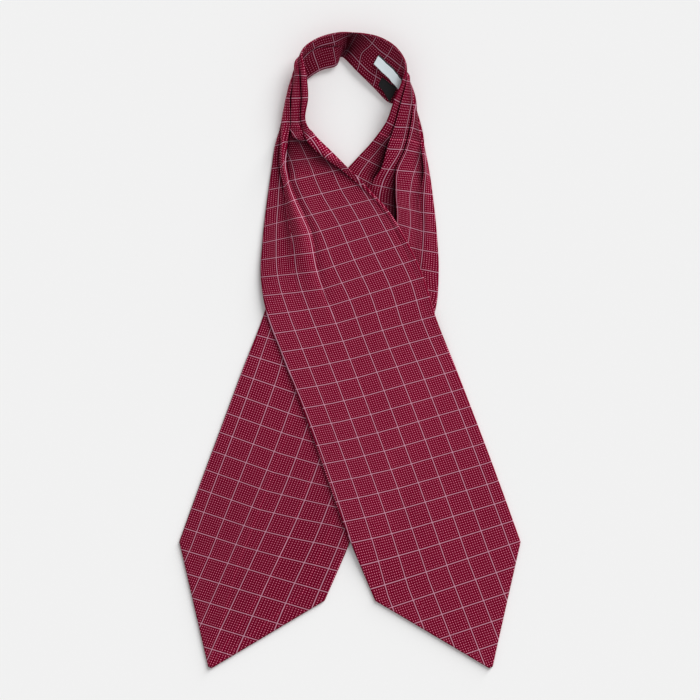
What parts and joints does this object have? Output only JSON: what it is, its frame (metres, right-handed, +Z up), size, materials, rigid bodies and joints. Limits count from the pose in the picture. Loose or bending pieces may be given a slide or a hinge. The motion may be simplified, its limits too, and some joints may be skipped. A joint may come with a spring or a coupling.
{
  "type": "silk cravat",
  "caption": "Pointed-end silk day cravat laid flat, pleated at the neck loop, with its blades crossed and bare labels inside the band.",
  "frame": {"origin": "on the surface it lies on, under the middle of its outline", "axes": "+Y from the blade tips towards the neck loop, +X to the right as seen from above with the loop at the top, +Z up"},
  "size_m": [0.331, 0.6172, 0.0235],
  "materials": {
    "silk": "deep red silk twill with a fine pale windowpane check and pin dots",
    "label_white": "white woven satin label, bare",
    "label_black": "black woven label, bare"
  },
  "bodies": {
    "root": {"front_blade": "silk", "front_neck_pleats": "silk", "nape_band": "silk", "back_neck_pleats": "silk", "back_blade": "silk", "woven_label": "label_white", "care_label": "label_black"}
  },
  "joints": []
}
